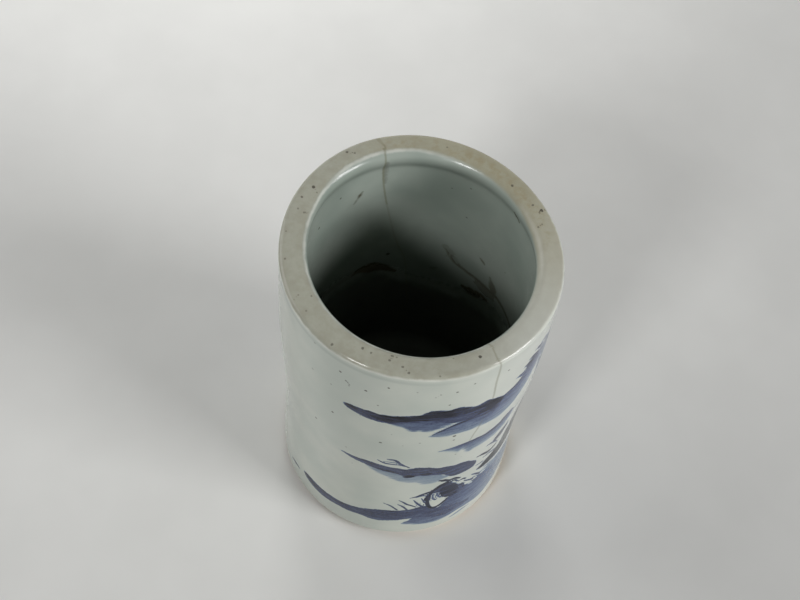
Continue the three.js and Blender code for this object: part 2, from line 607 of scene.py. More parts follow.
def drawLines(sheet, name, lines, reach=2.5):
    # Signed distance across the nearest thin line, plain distance to it, its half width and ink
    count = len(sheet.places)
    side, near = np.full(count, reach), np.full(count, reach)
    halves, inks = np.zeros(count), np.zeros(count)
    for surface, ink, points in lines:
        places, half, across = traced(surface, points)
        for part, away, gaps in sheet.measure(places, reach):
            best, rows = gaps.argmin(1), np.arange(len(part))
            found = gaps[rows, best]
            better = found < near[part]
            chosen = part[better]
            near[chosen] = found[better]
            side[chosen] = np.einsum("ij,ij->i", away[rows, best], across[best])[better]
            halves[chosen] = half[best][better]
            inks[chosen] = ink
    for suffix, values in (("Side", side), ("Near", near), ("Half", halves), ("Ink", inks)):
        sheet.keep(name + suffix, values)


def on(surface, rows):
    return [(surface, *row) for row in rows]


def placeSpecks(sheet, specks, reach=2.5):
    # The way to the nearest speck, in mm, its distance and its radius
    centres = np.array([surfacePlace(surface, a, v) for surface, a, v, _ in specks])
    sizes = np.array([size for _, _, _, size in specks])
    away = np.full((len(sheet.places), 3), reach)
    near, radius = np.full(len(sheet.places), reach), np.zeros(len(sheet.places))
    for centre, size in zip(centres, sizes):
        part = sheet.near(centre[None], reach)
        offset = sheet.places[part] - centre
        gap = np.linalg.norm(offset, axis=1)
        better = gap < near[part]
        away[part[better]] = offset[better]
        near[part[better]] = gap[better]
        radius[part[better]] = size
    sheet.keep("speckAway", away)
    sheet.keep("speckNear", near)
    sheet.keep("speckSize", radius)


# Shader shares read from those fields

def strokeShare(tree, name, ragged, soft, rough):
    return remap(tree, roughened(tree, drawn(tree, name + "Edge"), ragged, rough), -soft, soft)


def lineShare(tree, name, ragged, soft=0.16, rough=0.3):
    side = calc(tree, "ABSOLUTE", drawn(tree, name + "Side"))
    half = drawn(tree, name + "Half")
    wide = roughened(tree, half, ragged, rough)
    inside = remap(tree, calc(tree, "SUBTRACT", wide, side), -soft, soft)
    past = calc(tree, "SUBTRACT", drawn(tree, name + "Near"), half)
    return times(tree, inside, remap(tree, past, 0.35, 0.7, 1, 0))


def speckShare(tree, ragged):
    gap = lengthOf(tree, drawn(tree, "speckAway", "Vector"))
    size = drawn(tree, "speckSize")
    wide = roughened(tree, size, ragged, 0.5)
    inside = remap(tree, calc(tree, "SUBTRACT", wide, gap), -0.12, 0.12)
    # The smaller a speck, the deeper it lies in the glaze and the fainter it looks
    inside = times(tree, inside, remap(tree, size, 0.25, 0.55, 0.45, 1.0))
    near = drawn(tree, "speckNear")
    return times(tree, inside, remap(tree, calc(tree, "SUBTRACT", near, size), 0.4, 0.8, 1, 0))


# The glaze, shared by every coat
glazeLook = {
    "pale": (208, 213, 203),
    "deep": (192, 200, 191),
    "paintedWindowLight": (234, 237, 230),
    "rim": (176, 177, 162),
    "rimDeep": (165, 164, 148),
    "film": (168, 161, 130),
    "ochre": (150, 134, 94),
    "speck": (62, 55, 46),
    "dust": (122, 122, 108),
    "iron": (112, 110, 98),
    "arrisAndHighlight": (226, 228, 219),
    "poolAndShade": (158, 168, 160),
    "crack": (112, 106, 66),
    "arrisHighlightShare": 0.75,
    "roughness": 0.13,
    "gloss": 0.46,
}


def glazeGround(tree, place, pale, deep):
    broad = remap(tree, grain(tree, place, 30, 2), 0.35, 0.65)
    color = mixColor(tree, broad, deep, pale)
    cloud = remap(tree, grain(tree, place, 5, 4, shift=4.0), 0.3, 0.7, 0.0, 0.22)
    color = mixColor(tree, cloud, color, deep)
    fine = dots(tree, place, 2.6, 0.16, 0.35, shift=1.3)
    color = mixColor(tree, times(tree, fine, 0.4), color, glazeLook["dust"])
    iron = dots(tree, place, 7.5, 0.42, 0.3, shift=8.1)
    return mixColor(tree, times(tree, iron, 0.55), color, glazeLook["iron"])


def towardShare(tree, place, degrees, low, high, most=1.0):
    # Rises as a place lies further out toward one side, between two distances from the axis in mm
    parts = addNode(tree, "ShaderNodeSeparateXYZ", {"Vector": place}).outputs
    turn = math.radians(degrees)
    depth = times(tree, parts["Y"], -math.cos(turn))
    out = calc(tree, "MULTIPLY_ADD", parts["X"], math.sin(turn), depth)
    return remap(tree, out, low * mm, high * mm, 0.0, most)


def windowSideLightShare(tree, place):
    # Painted light: the side toward the window, on the right, is made a little whiter
    return towardShare(tree, place, 78, 20, 46, 0.6)


def rimTint(tree, place, color, look, strength, moved):
    # The thin, dirty glaze of the flat rim. It ends at the arris, where a pale line stands partly for glaze
    # that drew back and partly for a painted highlight. Moved is how much sooner that comes, in mm.
    ragged = grain(tree, place, 3.0, 4, shift=2.0)
    way = calc(tree, "ADD", calc(tree, "SUBTRACT", ragged, 0.5), drawn(tree, "fromRim"))
    way = calc(tree, "ADD", way, moved)
    share = remap(tree, way, *look["tintEnds"], 1, 0)
    mottle = remap(tree, grain(tree, place, 3.6, 5, shift=6.0), 0.3, 0.72)
    dirtAndWindowLight = mixColor(tree, mottle, look["rimDeep"], look["rim"])
    flecks = remap(tree, grain(tree, place, 0.9, 3, shift=27.0), 0.52, 0.75, 0.0, 0.5)
    dirtAndWindowLight = mixColor(tree, flecks, dirtAndWindowLight, look["rimDeep"])
    # Painted light: the rim is made whiter on the window side
    dirtAndWindowLight = mixColor(tree, times(tree, windowSideLightShare(tree, place), 0.8), dirtAndWindowLight, look["paintedWindowLight"])
    color = mixColor(tree, share, color, dirtAndWindowLight)
    # The pale line along the arris: partly glaze that drew back, partly a painted highlight
    past = calc(tree, "ABSOLUTE", calc(tree, "SUBTRACT", way, look["arrisWay"]))
    uneven = remap(tree, grain(tree, place, 9.0, 2, shift=29.0), 0.35, 0.6, 0.45, 1.0)
    line = times(tree, remap(tree, past, 0.1, 0.95, 1, 0), uneven, strength)
    return mixColor(tree, line, color, look["arrisAndHighlight"]), share


def ochreStain(tree, place, color, look, rimShare):
    # Brown staining on the far side of the rim, strongest a little right of the middle
    film = times(tree, towardShare(tree, place, 140, 2, 42, 0.5), rimShare)
    color = mixColor(tree, film, color, look["film"])
    blotch = remap(tree, grain(tree, place, 2.4, 6, shift=11.0), 0.42, 0.7)
    worn = remap(tree, drawn(tree, "fromRim"), 0.4, 3.4, 0.4, 0.1)
    share = times(tree, towardShare(tree, place, 152, 12, 40), blotch, rimShare, worn)
    return mixColor(tree, share, color, look["ochre"])


def addMarks(tree, place, color, look, ink=0.0):
    # The stained hairline can't be told under the ink
    ragged = grain(tree, place, 0.7, 3, shift=3.0)
    bare = remap(tree, ink, 0.2, 0.8, 1.0, 0.15)
    crack = times(tree, lineShare(tree, "crack", ragged, 0.32), drawn(tree, "crackInk"), bare)
    color = mixColor(tree, crack, color, look["crack"])
    return mixColor(tree, times(tree, speckShare(tree, ragged), 0.85), color, look["speck"])


def finishGlaze(tree, shader, place, color, look, dull=None, heavy=None):
    # Dull is how far dirt has taken the gloss off, and heavy how much cobalt lies under it, from 0 to 1
    tree.links.new(color, shader.inputs["Base Color"])
    smoothest, roughest = look["roughness"] - 0.03, look["roughness"] + 0.07
    scuff = remap(tree, grain(tree, place, 1.4, 4, shift=9.0), 0.35, 0.75, smoothest, roughest)
    gloss = look["gloss"]
    if heavy is not None:
        gloss = calc(tree, "MULTIPLY_ADD", heavy, -0.3, gloss)
    if dull is not None:
        scuff = calc(tree, "MULTIPLY_ADD", dull, 0.6, scuff)
        gloss = calc(tree, "MULTIPLY_ADD", dull, -0.4, gloss)
    feed(tree, shader.inputs["Roughness"], scuff)
    feed(tree, shader.inputs["Specular IOR Level"], gloss)
    shader.inputs["IOR"].default_value = 1.5
    addBumps(tree, shader, [
        (grain(tree, place, 1.6, 2, shift=5.0), 0.03, 0.35),
        (grain(tree, place, 9.0, 2, shift=7.0), 0.12, 0.2),
    ])


# Cobalt, from the palest wash to the blackest line, as seen under the glaze
cobalt = [
    (0.0, glazeLook["pale"]),
    (0.22, (168, 180, 186)),
    (0.42, (124, 142, 160)),
    (0.62, (86, 102, 134)),
    (0.8, (56, 66, 100)),
    (1.0, (28, 32, 54)),
    (1.2, (13, 15, 27)),
]


def cobaltColor(tree, ink, glaze):
    # Each colour is kept as its ratio to the pale glaze, so that the glaze still shows through
    ramp = tree.nodes.new("ShaderNodeValToRGB")
    feed(tree, ramp.inputs[0], calc(tree, "DIVIDE", ink, cobalt[-1][0]))
    stops = ramp.color_ramp.elements
    while len(stops) < len(cobalt):
        stops.new(0.5)
    pale = linear(glazeLook["pale"])
    for stop, (amount, color) in zip(stops, cobalt):
        stop.position = amount / cobalt[-1][0]
        stop.color = [*[c / p for c, p in zip(linear(color), pale)], 1]
    return mixColor(tree, 1.0, glaze, ramp.outputs[0], "MULTIPLY")


def paintedInk(tree, place):
    ragged = grain(tree, place, 1.1, 4, shift=13.0)
    streaks = grain(tree, place, 7.0, 4, stretch=(1, 1, 7), shift=15.0)
    heaped = grain(tree, place, 0.8, 2, shift=17.0)
    layers = []
    for name, noise, soft, rough in (
        ("wash", streaks, 0.32, 1.1),
        ("stroke", ragged, 0.26, 0.9),
        ("dark", streaks, 0.5, 1.6),
    ):
        share = strokeShare(tree, name, noise, soft, rough)
        layers.append(times(tree, share, drawn(tree, name + "Ink")))
    broad = calc(tree, "MAXIMUM", calc(tree, "MAXIMUM", layers[0], layers[1]), layers[2])
    spare = times(tree, strokeShare(tree, "spare", ragged, 0.3, 0.6), drawn(tree, "spareInk"))
    broad = times(tree, broad, calc(tree, "SUBTRACT", 1, spare))
    line = times(tree, lineShare(tree, "line", ragged), drawn(tree, "lineInk"))
    flow = remap(tree, streaks, 0.3, 0.7, 0.84, 1.1)
    pile = remap(tree, heaped, 0.45, 0.75, 0.97, 1.12)
    return times(tree, calc(tree, "MAXIMUM", broad, line), flow, pile)


# The river landscape. Each shape has its ink at the top and at the bottom. A band is filled between two
# edges, and its points are (degrees round from the front, low edge, high edge, strength); a fade is a band
# that runs out softly downwards. A brush stroke's points are (degrees, height, half width). Lengths are mm.
landscape = {
    "wash": [
        ("fade", 0.8, 0.6, [
            (-4.6, 104.9, 106.5), (-2.6, 104.3, 107), (0, 103.9, 107.5), (1.8, 103.2, 108.2),
            (3.8, 101.9, 109), (6.4, 101.2, 109.4), (8.6, 101.8, 109.4), (10.4, 100.8, 109.4),
            (13.2, 100.8, 109.6), (16.6, 102.3, 109.4), (18.6, 103.2, 108.4), (21, 103.9, 107.6),
            (24.6, 105, 106.6), (27, 105.6, 106.2),
        ]),
        ("fade", 0.8, 0.44, [
            (12.6, 96.4, 96.8), (15, 95.6, 99.2), (18, 95.2, 101.4), (21.3, 94.9, 103), (24.2, 94.7, 104.4),
            (27.7, 94.6, 104.8), (31.5, 94.4, 104.2), (34, 94.6, 103.6), (37, 94.2, 103),
            (40.4, 93.8, 103.6), (43, 93.5, 108.4), (45.2, 93.4, 110.4), (47.8, 93.9, 111),
            (50.5, 94.8, 111.9), (53.2, 96, 113.6), (55, 97.4, 117), (57, 99.4, 119.4), (60, 102.4, 120.8),
            (63, 108, 121.6), (66, 113, 122), (69, 115, 122.4), (74, 115, 122.6), (80, 111, 121),
            (88, 104, 116), (96, 96, 106),
        ]),
        ("fade", 0.46, 0.34, [
            (-12.4, 63.4, 64.2), (-9, 61.2, 64), (-6, 58.8, 63.6), (-2, 57.2, 63), (2, 55, 62),
            (4.6, 53.7, 61), (8, 53.2, 61), (11.3, 52.6, 61), (14.5, 50.6, 60.4), (19, 49.8, 59),
            (22.7, 50.2, 57), (25, 51.8, 55), (27.6, 52.8, 53.8),
        ]),
        ("fade", 0.84, 0.36, [
            (18.5, 81.2, 81.5, 0.8), (22, 80.2, 82.2, 0.86), (25, 78.6, 82.7, 0.92), (28.2, 76.4, 83),
            (30, 77.4, 83.2), (32, 74.8, 83.3), (34.2, 72.2, 83.3), (36.5, 72.8, 83.2), (39.9, 73, 82.8),
            (44.1, 73, 83.4), (47.8, 73.4, 84.2), (49.4, 73.8, 85.2), (51.2, 74.6, 86.7),
            (53.2, 76.2, 87.8), (54.8, 79, 87.9), (56.2, 82.6, 87.4),
        ]),
        ("fade", 0.84, 0.58, [
            (8, 11.9, 12.6, 0.8), (10.5, 11.6, 14.6, 0.85), (12.9, 11.2, 17), (17.5, 10, 19.6),
            (21.6, 9.2, 22.2), (25.6, 8.9, 23.8), (28, 9.1, 26.6), (29.4, 9.4, 29.8), (32.4, 10.2, 32.4),
            (34.6, 11, 36.4), (36.5, 11.5, 38), (38.4, 11.6, 35.2, 0.96), (43.5, 11, 34.8, 0.92),
            (48.9, 10, 35.6, 0.86), (53.9, 10.4, 35.4, 0.8), (58, 11.2, 34.4, 0.76), (62, 12.6, 33.8, 0.72),
            (66, 15.4, 33.8, 0.7), (70, 17, 32.4, 0.66), (75, 17.4, 29, 0.62), (82, 17, 24.6, 0.54),
            (89, 16.8, 20.6, 0.46), (96, 17, 18, 0.4),
        ]),
        ("band", 0.42, 0.5, [
            (46.4, 35, 38.6), (50.3, 34.6, 40.6), (54, 34, 40), (58, 33.4, 39), (64, 33, 38.6),
            (70, 32.4, 38), (76, 33, 36.4),
        ]),
        ("fade", 0.34, 0.3, [
            (55.6, 47.4, 48.2), (58.6, 47, 55), (61.4, 46.8, 63), (64.4, 46.8, 71), (68, 47, 77),
            (73, 47, 82), (80, 50, 80), (86, 56, 70),
        ]),
        ("fade", 0.5, 0.4, [(33, 6.8, 7.2), (36, 7.2, 8.6), (40, 8.2, 9.8), (45, 9, 9.6)]),
    ],
    "stroke": [
        ("band", 0.98, 0.84, [
            (-24.4, 107.8, 108.1), (-23, 106.9, 108.9), (-21.2, 106.2, 109.7), (-18, 105.5, 110),
            (-14.5, 104.8, 110.2), (-12.2, 104.7, 110.6), (-9.4, 104.6, 110.2), (-6.6, 104.7, 110.3),
            (-3.4, 104.8, 110.8), (0.3, 105.6, 111.7), (4.5, 107, 112.6), (7.9, 107.6, 113.4),
            (9.9, 107.8, 114.8), (12.3, 107.8, 116), (15.9, 107, 115.8), (18.9, 105.9, 114.8),
            (22, 104.6, 115.8), (25, 104.7, 115.5), (28, 104.4, 113.8), (31.5, 103.4, 112.9),
            (33.8, 102.8, 113.6), (36, 102.5, 114), (38.4, 102.4, 112.9), (40.9, 102.4, 111.9),
            (42.8, 103.8, 111), (44.4, 108, 110.4), (45.4, 109.8, 110.1),
        ]),
        ("band", 0.9, 0.84, [
            (-26.6, 66.9, 67.1, 0.8), (-22.9, 66.2, 67.5, 0.86), (-19.7, 65.3, 67.6, 0.92),
            (-16.2, 64.8, 67.8), (-12.8, 64.3, 68.3), (-9.9, 63.5, 68.3), (-6.6, 62.5, 67.8),
            (-3.7, 62, 67.3), (0.4, 61.5, 66.9), (3.4, 60.4, 66.5), (6, 58.7, 66), (8.8, 58.2, 67),
            (11.8, 59.2, 67.6), (14.6, 58.9, 66.9), (17, 58.4, 66.4), (20.8, 57.5, 64.4), (24.4, 56, 64),
            (27.4, 52.9, 63), (29.4, 51.6, 62.3), (31.7, 50.8, 62.5), (35.7, 50.3, 61.1),
            (38.4, 50.4, 58.8), (40.8, 51, 56.9), (41.9, 52.8, 55),
        ]),
        ("band", 0.88, 0.8, [
            (-47.9, 16.2, 17), (-46.6, 14.9, 18.2), (-43.9, 13.8, 18.8), (-38.5, 12.8, 18.6),
            (-33.6, 12.8, 18.4), (-29.2, 13.1, 18.6), (-24, 13.8, 18.8), (-19.5, 13.9, 19.4),
            (-15.4, 14.5, 20.6), (-11.5, 14.7, 21.8), (-8.4, 14, 22.9), (-4, 13.8, 24.2), (0.4, 14.6, 24.8),
            (5.2, 15.6, 25.2), (9.5, 16.6, 25.8), (12.6, 16.9, 26.6), (14.7, 16.8, 27.6),
            (17.4, 16.6, 28.3), (19.4, 16.2, 27.2), (21.6, 15.6, 25), (25, 14, 23.6), (30, 12.6, 22, 0.96),
            (38, 14, 19, 0.92), (44, 15.6, 17, 0.9),
        ]),
        ("brush", 1.04, 0.98, [
            (-60.9, 10.2, 0.3), (-58.3, 11.5, 0.6), (-55, 12.8, 0.65), (-51.8, 13.2, 0.25),
        ]),
        ("brush", 0.8, 0.7, [(49.4, 117, 0.2), (51.4, 116.9, 0.7), (53.6, 116, 1.4)]),
        ("brush", 0.96, 0.8, [(52.9, 120.4, 0.2), (55, 120.6, 0.8), (57.6, 119.6, 1.7)]),
        ("brush", 1, 0.84, [(55.6, 122.9, 0.2), (57.6, 123, 0.8), (60.6, 121.6, 1.4)]),
        ("brush", 0.86, 0.76, [(59, 125.6, 0.2), (61.2, 125.4, 0.8), (64, 123.8, 1.2)]),
        ("brush", 0.8, 0.7, [(63.4, 126.4, 0.2), (66, 125.6, 0.7), (69, 124, 1)]),
    ],
    "dark": [
        ("band", 1.16, 1.02, [
            (-13, 106.6, 107.4, 0.9), (-8, 105.6, 110, 0.96), (-3.4, 105.4, 110.6), (0.3, 106.4, 111.5),
            (4.5, 108, 112.4), (8, 108.4, 113.2), (12.3, 108.8, 115.8), (16.6, 109.3, 115.4),
            (20, 109.7, 115), (25, 110, 115.3, 0.9), (30, 107.2, 113, 0.86), (34, 105.6, 113.4, 0.92),
            (38, 104.6, 112.8), (41, 104.6, 111.7), (43.4, 107.4, 110.6), (45, 109.4, 110),
        ]),
        ("brush", 1.1, 1, [(-23.6, 108.1, 0.5), (-20.6, 108.9, 1), (-16, 108.6, 0.5)]),
        ("brush", 1.08, 1, [(-3.6, 62.6, 0.4), (-1.8, 62.9, 0.9), (0.2, 62.6, 0.4)]),
        ("brush", 1.14, 1.08, [(5.4, 58.9, 0.7), (6.8, 58.7, 1.5), (8.6, 58.9, 1.4), (10, 59.5, 0.5)]),
        ("brush", 1.08, 1, [(8, 66.2, 0.4), (9.8, 66.2, 0.9), (11.4, 66.4, 0.8), (12.6, 66, 0.4)]),
        ("brush", 1.1, 1.02, [(12.6, 60.2, 0.5), (14.4, 60, 1.2), (16.8, 60, 1.3), (18.8, 60, 0.5)]),
        ("brush", 0.98, 0.92, [(-10, 65.6, 0.4), (-6, 63.8, 0.8), (0, 62.4, 0.9), (4, 61, 0.4)]),
        ("brush", 1.1, 1, [(-47.2, 17, 0.6), (-44.2, 16.8, 1.6), (-40.6, 15.8, 1.4), (-36.5, 15.6, 0.4)]),
        ("band", 0.99, 0.96, [
            (20.8, 38.4, 39.6, 0.84), (22.3, 38.6, 42.4, 0.84), (24.4, 38, 45.2, 0.94), (26, 35.2, 46),
            (27.8, 33, 46), (30.1, 31.6, 45), (32.2, 31.8, 43), (33.6, 32.6, 40.4), (34.8, 34.4, 38.2),
            (35.4, 35.6, 36.4),
        ]),
        ("band", 1.2, 1.14, [
            (44.4, 43.5, 44.3), (47, 42.4, 46.4), (50.3, 41.8, 48.6), (53.4, 41.4, 49.8), (56.6, 41, 51.6),
            (58.4, 41, 55), (60, 41, 60), (62, 41.4, 69), (64, 41.8, 77), (67, 42.6, 80, 0.96),
            (70, 43.6, 76, 0.9), (74, 45.4, 67, 0.8), (78, 47, 59, 0.7), (83, 49, 54, 0.6),
            (88, 50, 51.4, 0.5),
        ]),
        ("brush", 1.12, 1.04, [(55.8, 121, 0.4), (57.4, 120.2, 1.1), (59.4, 118.8, 0.5)]),
        ("brush", 1.06, 0.84, [
            (51.8, 64, 1.2), (53, 66, 2.6), (54.4, 68, 2.4), (55.8, 70.8, 1.6), (57, 73.4, 0.4),
        ]),
    ],
    "spare": [
        ("band", 1, 1, [
            (20.5, 31, 34.4), (21.1, 28.8, 35.2), (22, 26.9, 34.6), (23.5, 25.8, 33.2), (25.5, 26.8, 32.8),
            (27.1, 28.6, 32.2), (28, 30.4, 31.2),
        ]),
        ("brush", 0.9, 0.9, [(21, 38, 0.25), (21.3, 36, 0.5), (21.4, 33.6, 0.4)]),
        ("brush", 0.9, 0.9, [(22.7, 38.4, 0.3), (23.4, 36.8, 0.5), (24.4, 34.8, 0.4)]),
        ("brush", 0.8, 0.8, [(13.4, 97.6, 0.6), (15.4, 99.6, 0.5), (19.9, 102.4, 0.45), (24, 104.4, 0.25)]),
        ("brush", 0.7, 0.7, [(16, 102.8, 0.15), (18.4, 104, 0.28), (22.4, 105, 0.2)]),
        ("brush", 0.7, 0.7, [(43, 39.9, 0.4), (46, 39.8, 1.1), (49.6, 38.8, 1), (52, 38, 0.4)]),
        ("brush", 0.8, 0.8, [(40.4, 34.8, 0.3), (41.8, 34, 0.9), (43, 33, 0.4)]),
        ("brush", 0.7, 0.7, [(47.6, 36.6, 0.3), (49.4, 36, 0.9), (51.4, 35.6, 0.4)]),
    ],
}

# Thin lines are (ink, points)
landscapeLines = [
    (1.06, [
        (29.7, 29.8, 0.5), (27.8, 27.4, 0.7), (26, 25.6, 0.7), (24, 24.6, 0.7), (21.6, 25, 0.75),
        (20, 27.8, 0.8), (18.9, 32.4, 0.85), (18.9, 36.4, 0.8), (20.2, 39.8, 0.8), (22, 42.5, 0.85),
        (24.4, 45, 1), (27.6, 46.8, 0.8),
    ]),
    (0.74, [(21.3, 37.4, 0.3), (21.7, 34, 0.5), (22.7, 32.6, 0.5)]),
    (0.7, [(23.4, 37.6, 0.4), (24.2, 35, 0.45), (25.2, 33.4, 0.3)]),
    (1.02, [(25.2, 37.6, 0.3), (26.6, 34, 0.45), (29.4, 31.6, 0.5), (32.6, 31.4, 0.45), (35, 34, 0.4)]),
    (0.9, [(34, 37.2, 0.6), (35.4, 38.4, 0.8), (37, 36.8, 0.8), (38, 34.2, 0.6)]),
    (0.9, [(-1.4, 30.9, 0.2), (1.6, 29.3, 0.42), (4.4, 26.4, 0.4)]),
    (0.92, [(5.8, 34.6, 0.22), (7.4, 33.4, 0.4), (9.2, 31.4, 0.5), (11.4, 30, 0.42), (13.2, 28.6, 0.3)]),
    (0.86, [(5.4, 30.8, 0.22), (7.2, 29.4, 0.45), (9.2, 26.8, 0.42)]),
    (0.84, [(12.6, 34.4, 0.25), (14.2, 31.6, 0.5), (16.2, 28.8, 0.5)]),
    (0.98, [(11, 37.4, 0.25), (13.5, 38.3, 0.5), (16.3, 40, 0.6), (20, 41.2, 0.7)]),
    (0.84, [(13.6, 37.6, 0.3), (16.4, 38.4, 0.4), (18.7, 37.7, 0.4)]),
    (0.86, [(16.2, 35.4, 0.22), (17.6, 32, 0.42)]),
    (1.08, [(23.8, 50.3, 0.5), (25.5, 49.6, 1), (27.6, 48.6, 0.6)]),
    (1, [(27.4, 46.2, 0.6), (29.2, 48, 0.65), (31.4, 48.1, 0.6), (34, 46.2, 0.35)]),
    (0.88, [(29.8, 45.6, 0.3), (31.4, 46.2, 0.45), (32.8, 44.2, 0.4)]),
    (0.92, [(34.9, 43, 0.4), (36.2, 43.2, 0.6), (37.5, 42.2, 0.45)]),
    (0.84, [(38.2, 39.6, 0.4), (40.2, 38.2, 0.55), (42.4, 36.4, 0.45)]),
    (0.8, [(42.2, 41.5, 0.4), (44.4, 39.8, 0.6), (47, 37.4, 0.45)]),
    (0.76, [(43.3, 37.5, 0.3), (49.2, 34.4, 0.45)]),
    (0.8, [(43.6, 49.3, 0.35), (46.2, 48.9, 0.5)]),
    (1.08, [
        (42.2, 59.1, 0.4), (44.7, 58.4, 0.8), (47.7, 56.6, 0.85), (50.6, 56, 0.95), (52.4, 57, 0.9),
        (54.2, 58.4, 0.4),
    ]),
    (0.8, [(46.6, 64.9, 0.4), (48.8, 64.2, 0.7), (51, 62.6, 0.65), (53, 60.8, 0.4)]),
    (0.8, [(47.2, 53.2, 0.4), (49.8, 53, 0.65), (52.2, 52.2, 0.65), (56, 50.4, 0.4)]),
    (0.78, [
        (-6.6, 71.4, 0.3), (-5.2, 70.5, 0.45), (-3.3, 69.8, 0.4), (0, 69.9, 0.35), (2.6, 70, 0.35),
        (4.8, 69, 0.3),
    ]),
    (0.86, [
        (-2.2, 74.3, 0.35), (-0.6, 74.4, 0.6), (0.9, 73.9, 0.65), (2.6, 71.8, 0.5), (4.7, 69.8, 0.4),
        (6.6, 68.3, 0.35),
    ]),
    (0.6, [(-4, 71.6, 0.2), (-1.6, 71.8, 0.4), (1.2, 71.6, 0.3)]),
    (0.98, [
        (14.6, 97.8, 0.25), (17.9, 100.1, 0.5), (20.5, 101.4, 0.6), (24, 103, 0.6), (27.3, 103.8, 0.5),
        (31, 104, 0.3),
    ]),
    (0.94, [
        (34, 82.8, 0.2), (40, 81.8, 0.6), (45, 82, 0.9), (48.4, 83, 0.9), (50.8, 85.8, 0.9),
        (54.4, 87.4, 0.5),
    ]),
    (1, [(44.4, 110.2, 0.35), (47.6, 110.9, 0.5), (50.8, 112, 0.5), (53.2, 113.6, 0.5)]),
    (0.95, [(54.6, 118, 0.3), (56.6, 119.2, 0.9), (58.6, 120.6, 0.4)]),
    (0.9, [(58.6, 121.2, 0.3), (60, 122, 0.8), (61.6, 122.8, 0.3)]),
    (0.7, [(56, 83, 0.25), (57.4, 85, 0.4), (60, 86.4, 0.3), (64, 87.8, 0.3)]),
]

# The rest of the painting runs round the back: a bluff with a pine, a fishing boat before far hills, and
# a bank with a hut, a willow and a tree
brushRandom = np.random.default_rng(5)
back = {
    "ridge": [
        (66, 112), (72, 122), (78, 126), (84, 121), (90, 113), (96, 100), (102, 82), (108, 62), (114, 42),
        (119, 27), (124, 17),
    ],
    "foot": [(66, 108), (70, 92), (75, 70), (80, 50), (86, 31), (94, 22), (108, 17), (124, 14.6)],
    "texture": 54,
    "trunk": [(85, 117, 1.4), (86.4, 122, 1.1), (85.6, 126, 0.9), (88, 130, 0.5)],
    "branches": [
        [(86, 122), (89.5, 124.5), (92.5, 125.6)],
        [(85.8, 125), (83, 126.6)],
        [(86.4, 121), (91, 120.6), (94.5, 121)],
    ],
    "needles": [(83, 128), (87.5, 131), (92, 127.5), (95, 122), (80.5, 124)],
    "hills": [
        ("fade", 0.4, 0.24, [
            (128, 99, 99.5), (138, 98, 105), (146, 97, 111), (153, 98, 107), (160, 98, 104),
            (168, 97.6, 108.6), (176, 97, 112.5), (184, 97.4, 107), (192, 98, 101), (198, 98.6, 99.2),
        ]),
        ("fade", 0.52, 0.3, [
            (180, 89.6, 90.2), (188, 88.6, 95), (197, 87.6, 99), (206, 88.4, 95), (216, 89, 92.6),
            (224, 89.8, 90.4),
        ]),
    ],
    "birds": [(148, 125), (153, 127.5), (158, 124), (163, 126)],
    "dashes": 34,
    "ripples": [34, 40, 47, 53, 64, 70, 78],
    "bank": [
        (198, 27, 27.4), (206, 25, 29.5), (216, 23.6, 32), (226, 23.2, 33.5), (236, 23.6, 32.5),
        (246, 24.6, 31.6), (256, 25.6, 30), (266, 27, 28.6), (272, 27.8, 28.2),
    ],
    "farShore": [
        (212, 70, 70.4), (222, 68.6, 72), (236, 68, 72.6), (250, 68.8, 72), (262, 69.6, 71.4),
        (272, 70.4, 70.7),
    ],
    "roof": [(220, 41.4, 41.9), (223, 40.8, 43.6), (227, 40.4, 45.4), (231, 40.6, 44), (235, 41.2, 41.8)],
    "tree": [(244, 31, 1.2), (243, 40, 0.95), (245, 50, 0.7), (243.6, 58, 0.4)],
    "willow": [(210, 30, 1.1), (211, 42, 0.9), (208.6, 52, 0.8), (211, 60, 0.5)],
    "crowns": [(240, 56), (245, 62), (249.5, 55), (243, 49), (236.5, 50)],
}


def dab(degrees, up, length, lean, half):
    # A short brush mark that leans from the level by some degrees
    rise = length * math.sin(math.radians(lean)) / 2
    run = math.degrees(length * math.cos(math.radians(lean)) / potForm["rim"]) / 2
    ends = (degrees - run, up - rise, half * 0.4), (degrees + run, up + rise, half * 0.6)
    return [ends[0], (degrees, up, half), ends[1]]


def paint(layer, kind, top, bottom, points):
    landscape[layer].append((kind, top, bottom, points))


def paintBluff():
    ridge, foot = np.array(back["ridge"]).T, np.array(back["foot"]).T
    body = [(a, np.interp(a, *foot), np.interp(a, *ridge)) for a in range(66, 125, 2)]
    paint("wash", "fade", 0.6, 0.3, body)
    draw = brushRandom.uniform
    for _ in range(back["texture"]):
        a = draw(70, 116)
        low = np.interp(a, *foot) + 5
        up = draw(low, max(np.interp(a, *ridge) - 5, low + 1))
        mark = dab(a, up, draw(5, 11), draw(-74, -52), draw(0.4, 1.0))
        paint("stroke", "brush", 0.9, 0.74, mark)
    for a in np.arange(68, 118, 2.3):
        up = np.interp(a, *ridge) + draw(-1, 1.5)
        paint("dark", "brush", 1.0, 0.95, dab(a, up, 2.4, draw(-30, 60), 1.0))
    paint("dark", "brush", 1.05, 1.0, back["trunk"])
    for branch in back["branches"]:
        landscapeLines.append((1.0, [(*p, 0.4) for p in branch]))
    for a, up in back["needles"]:
        for lean in np.radians(range(10, 180, 20)):
            tip = (a + 3.4 * math.cos(lean), up + 2.7 * math.sin(lean), 0.15)
            landscapeLines.append((0.94, [(a, up, 0.3), tip]))


